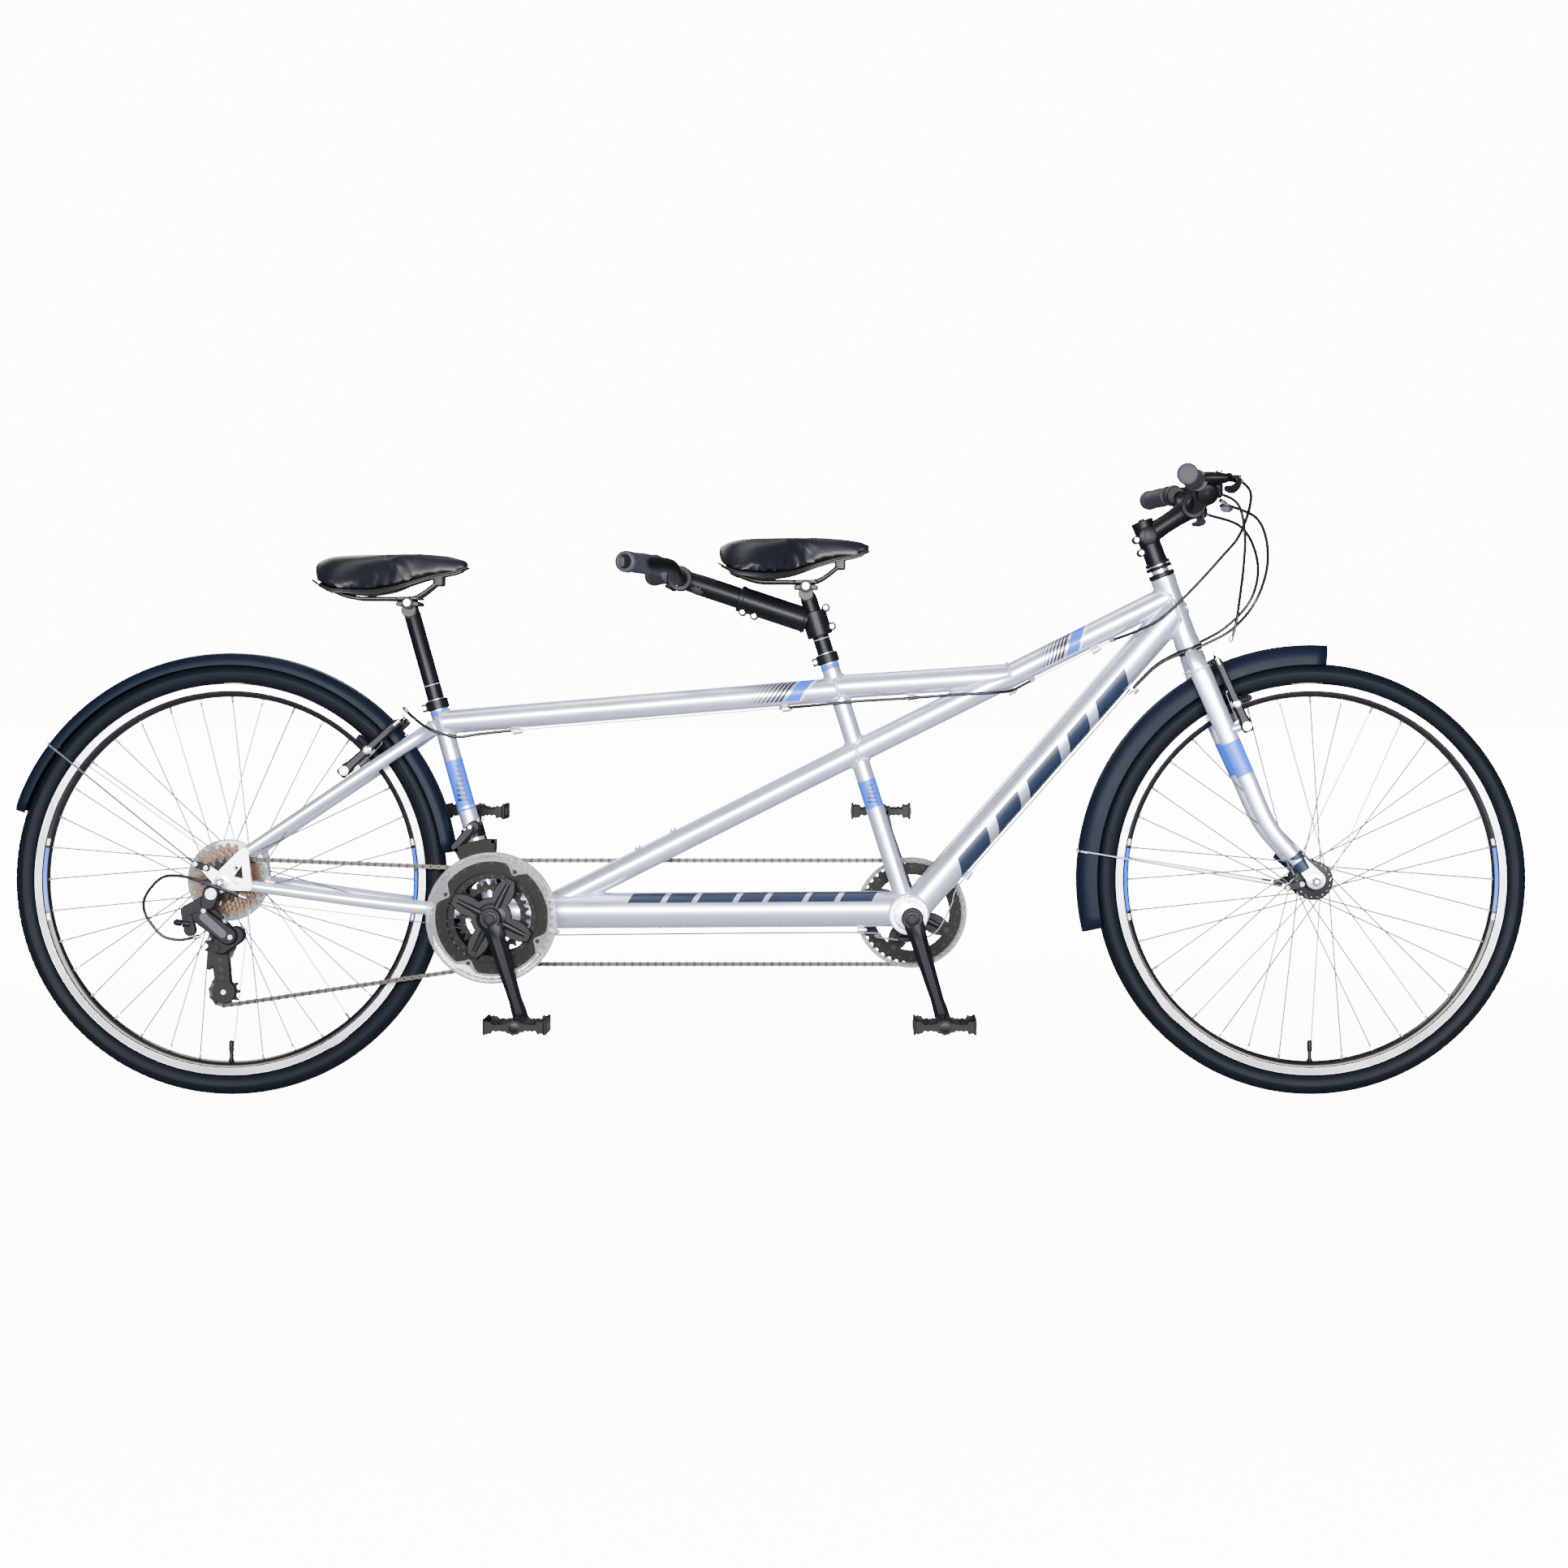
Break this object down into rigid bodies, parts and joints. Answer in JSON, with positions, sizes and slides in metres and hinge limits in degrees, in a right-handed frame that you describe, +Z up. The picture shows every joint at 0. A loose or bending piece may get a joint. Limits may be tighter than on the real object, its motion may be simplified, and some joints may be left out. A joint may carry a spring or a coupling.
{
  "type": "tandem bicycle",
  "caption": "Tandem bicycle for two riders: steering fork, linked crank sets, timing and drive chains, gears, rim brakes, padded saddles and mudguards.",
  "frame": {"origin": "on the ground midway between the two axles, in the wheels' middle plane", "axes": "+X forwards, +Y the riders' left, +Z up"},
  "size_m": [2.446, 0.6066, 1],
  "materials": {
    "frame_paint": "satin silver paint with a lavender tint",
    "bare_alloy": "brushed and polished alloy",
    "black_metal": "satin black",
    "black_plastic": "moulded, fine grain",
    "tyre": "matt rubber",
    "saddle_vinyl": "soft grained vinyl",
    "mudguard": "matt dark navy",
    "chain_steel": "oiled brown steel",
    "cog_steel": "brown plated steel",
    "cable_jacket": "smooth black jacket"
  },
  "bodies": {
    "frame": {"head_tube": "frame_paint", "front_seat_tube": "frame_paint", "rear_seat_tube": "frame_paint", "rear_top_tube": "frame_paint", "front_top_tube": "frame_paint", "diagonal_tube_front": "frame_paint", "diagonal_tube_rear": "frame_paint", "down_tube": "frame_paint", "boom_tube": "frame_paint", "seatstay_left": "frame_paint", "seatstay_right": "frame_paint", "chainstay_left": "frame_paint", "chainstay_right": "frame_paint", "rear_fender": "mudguard", "timing_chain": "chain_steel", "drive_chain": "chain_steel", "brake_cable_front": "cable_jacket", "brake_cable_rear": "cable_jacket", "gear_cables_front": "cable_jacket", "gear_cables_rear": "cable_jacket"},
    "steering": {"fork": "frame_paint", "front_fender": "mudguard", "captain_stem": "black_metal", "captain_bar": "black_metal", "front_brake_cable": "cable_jacket"},
    "front_wheel": {"front_tyre": "tyre", "front_wheel": "bare_alloy"},
    "rear_wheel": {"rear_tyre": "tyre", "rear_wheel": "bare_alloy"},
    "front_skewer": {"front_skewer": "bare_alloy"},
    "rear_skewer": {"rear_skewer": "bare_alloy"},
    "freewheel": {"freewheel_cogs": "cog_steel"},
    "captain_cranks": {"captain_crank_left": "black_metal", "captain_crank_right": "black_metal"},
    "stoker_cranks": {"stoker_crank_left": "black_metal", "stoker_crank_right": "black_metal"},
    "captain_seat": {"captain_seatpost": "bare_alloy", "captain_saddle": "saddle_vinyl", "stoker_stem_clamp": "black_metal"},
    "stoker_seat": {"stoker_seatpost": "bare_alloy", "stoker_saddle": "saddle_vinyl"},
    "stoker_bars": {"stoker_stem_slider": "black_metal", "stoker_bar": "black_metal"},
    "captain_pedal_left": {"captain_pedal_left": "black_plastic"},
    "captain_pedal_right": {"captain_pedal_right": "black_plastic"},
    "stoker_pedal_left": {"stoker_pedal_left": "black_plastic"},
    "stoker_pedal_right": {"stoker_pedal_right": "black_plastic"},
    "rear_derailleur": {"rear_derailleur": "black_metal"},
    "derailleur_cage": {"derailleur_cage": "black_metal"},
    "guide_pulley": {"guide_pulley": "black_plastic"},
    "tension_pulley": {"tension_pulley": "black_plastic"},
    "front_derailleur": {"front_derailleur": "bare_alloy"},
    "rear_brake_arm_left": {"rear_brake_arm_left": "black_metal"},
    "rear_brake_arm_right": {"rear_brake_arm_right": "black_metal"},
    "front_brake_arm_left": {"front_brake_arm_left": "black_metal"},
    "front_brake_arm_right": {"front_brake_arm_right": "black_metal"},
    "brake_lever_left": {"brake_lever_left": "black_metal"},
    "brake_lever_right": {"brake_lever_right": "black_metal"},
    "shift_lever_left": {"shift_lever_left": "black_plastic"},
    "shift_lever_right": {"shift_lever_right": "black_plastic"}
  },
  "joints": [
    {"name": "steering_turn", "type": "hinge", "parent": "frame", "child": "steering", "pos_m": [0.677, 0, 0.725], "axis": [-0.3502, 0, 0.9367], "range_deg": [-60, 60], "deforming": ["brake_cable_front", "gear_cables_front"]},
    {"name": "front_wheel_turn", "type": "hinge", "parent": "steering", "child": "front_wheel", "pos_m": [0.874, 0, 0.349], "axis": [0, 1, 0], "continuous": true},
    {"name": "rear_wheel_turn", "type": "hinge", "parent": "frame", "child": "rear_wheel", "pos_m": [-0.874, 0, 0.349], "axis": [0, 1, 0], "continuous": true},
    {"name": "front_skewer_turn", "type": "hinge", "parent": "steering", "child": "front_skewer", "pos_m": [0.874, 0, 0.349], "axis": [0, 1, 0], "range_deg": [0, 60]},
    {"name": "rear_skewer_turn", "type": "hinge", "parent": "frame", "child": "rear_skewer", "pos_m": [-0.874, 0, 0.349], "axis": [0, 1, 0], "range_deg": [0, 60]},
    {"name": "stoker_crank_turn", "type": "hinge", "parent": "frame", "child": "stoker_cranks", "pos_m": [-0.445, 0, 0.291], "axis": [0, 1, 0], "continuous": true},
    {"name": "captain_crank_turn", "type": "hinge", "parent": "frame", "child": "captain_cranks", "pos_m": [0.2281, 0, 0.291], "axis": [0, 1, 0], "continuous": true},
    {"name": "freewheel_turn", "type": "hinge", "parent": "frame", "child": "freewheel", "pos_m": [-0.874, 0, 0.349], "axis": [0, 1, 0], "continuous": true},
    {"name": "captain_pedal_left_turn", "type": "hinge", "parent": "captain_cranks", "child": "captain_pedal_left", "pos_m": [0.1784, 0.13, 0.45357], "axis": [0, 1, 0], "continuous": true},
    {"name": "captain_pedal_right_turn", "type": "hinge", "parent": "captain_cranks", "child": "captain_pedal_right", "pos_m": [0.2778, -0.13, 0.12843], "axis": [0, 1, 0], "continuous": true},
    {"name": "stoker_pedal_left_turn", "type": "hinge", "parent": "stoker_cranks", "child": "stoker_pedal_left", "pos_m": [-0.4947, 0.13, 0.45357], "axis": [0, 1, 0], "continuous": true},
    {"name": "stoker_pedal_right_turn", "type": "hinge", "parent": "stoker_cranks", "child": "stoker_pedal_right", "pos_m": [-0.3953, -0.13, 0.12843], "axis": [0, 1, 0], "continuous": true},
    {"name": "derailleur_swing", "type": "hinge", "parent": "frame", "child": "rear_derailleur", "pos_m": [-0.888, -0.078, 0.331], "axis": [0, 1, 0], "range_deg": [-20, 10], "stiffness_Nm_per_rad": 4, "deforming": ["drive_chain", "gear_cables_rear"]},
    {"name": "cage_swing", "type": "hinge", "parent": "rear_derailleur", "child": "derailleur_cage", "pos_m": [-0.882, -0.049, 0.245], "axis": [0, 1, 0], "range_deg": [-25, 25], "stiffness_Nm_per_rad": 2},
    {"name": "guide_pulley_turn", "type": "hinge", "parent": "derailleur_cage", "child": "guide_pulley", "pos_m": [-0.882, -0.049, 0.245], "axis": [0, 1, 0], "continuous": true},
    {"name": "tension_pulley_turn", "type": "hinge", "parent": "derailleur_cage", "child": "tension_pulley", "pos_m": [-0.874, -0.049, 0.172], "axis": [0, 1, 0], "continuous": true},
    {"name": "front_derailleur_shift", "type": "slide", "parent": "frame", "child": "front_derailleur", "axis": [0, 1, 0], "range_m": [-0.006, 0.006]},
    {"name": "rear_brake_arm_left_swing", "type": "hinge", "parent": "frame", "child": "rear_brake_arm_left", "pos_m": [-0.682, 0.0515, 0.526], "axis": [0.6778, 0, -0.7352], "range_deg": [0, 1.5]},
    {"name": "rear_brake_arm_right_swing", "type": "hinge", "parent": "frame", "child": "rear_brake_arm_right", "pos_m": [-0.682, -0.0515, 0.526], "axis": [-0.6778, 0, 0.7352], "range_deg": [0, 1.5]},
    {"name": "front_brake_arm_left_swing", "type": "hinge", "parent": "steering", "child": "front_brake_arm_left", "pos_m": [0.7646, 0.0515, 0.5975], "axis": [0.9152, 0, 0.4029], "range_deg": [0, 1.5]},
    {"name": "front_brake_arm_right_swing", "type": "hinge", "parent": "steering", "child": "front_brake_arm_right", "pos_m": [0.7646, -0.0515, 0.5975], "axis": [-0.9152, 0, -0.4029], "range_deg": [0, 1.5]},
    {"name": "brake_lever_left_pull", "type": "hinge", "parent": "steering", "child": "brake_lever_left", "pos_m": [0.732, 0.166, 0.986], "axis": [0, 0, 1], "range_deg": [0, 12], "stiffness_Nm_per_rad": 6, "springref_deg": -5.73},
    {"name": "brake_lever_right_pull", "type": "hinge", "parent": "steering", "child": "brake_lever_right", "pos_m": [0.732, -0.166, 0.986], "axis": [0, 0, -1], "range_deg": [0, 12], "stiffness_Nm_per_rad": 6, "springref_deg": -5.73},
    {"name": "shift_lever_left_press", "type": "hinge", "parent": "steering", "child": "shift_lever_left", "pos_m": [0.686, 0.14, 0.968], "axis": [0.1333, 0.9333, -0.3333], "range_deg": [-12, 12], "stiffness_Nm_per_rad": 0.8},
    {"name": "shift_lever_right_press", "type": "hinge", "parent": "steering", "child": "shift_lever_right", "pos_m": [0.686, -0.14, 0.968], "axis": [0.1333, -0.9333, -0.3333], "range_deg": [-12, 12], "stiffness_Nm_per_rad": 0.8},
    {"name": "captain_seatpost_height", "type": "slide", "parent": "frame", "child": "captain_seat", "axis": [-0.3117, 0, 0.9502], "range_m": [-0.015, 0.04]},
    {"name": "stoker_seatpost_height", "type": "slide", "parent": "frame", "child": "stoker_seat", "axis": [-0.2703, 0, 0.9628], "range_m": [-0.015, 0.05]},
    {"name": "stoker_stem_reach", "type": "slide", "parent": "captain_seat", "child": "stoker_bars", "axis": [-0.9487, 0, 0.3163], "range_m": [-0.02, 0.03]}
  ],
  "couplings": [
    {"joint": "captain_crank_turn", "follows": "stoker_crank_turn", "ratio": 1},
    {"joint": "freewheel_turn", "follows": "stoker_crank_turn", "ratio": 2.1111},
    {"joint": "guide_pulley_turn", "follows": "stoker_crank_turn", "ratio": -3.4545},
    {"joint": "tension_pulley_turn", "follows": "stoker_crank_turn", "ratio": 3.4545},
    {"joint": "front_brake_arm_left_swing", "follows": "brake_lever_left_pull", "ratio": 0.125},
    {"joint": "front_brake_arm_right_swing", "follows": "brake_lever_left_pull", "ratio": 0.125},
    {"joint": "rear_brake_arm_left_swing", "follows": "brake_lever_right_pull", "ratio": 0.125},
    {"joint": "rear_brake_arm_right_swing", "follows": "brake_lever_right_pull", "ratio": 0.125}
  ]
}
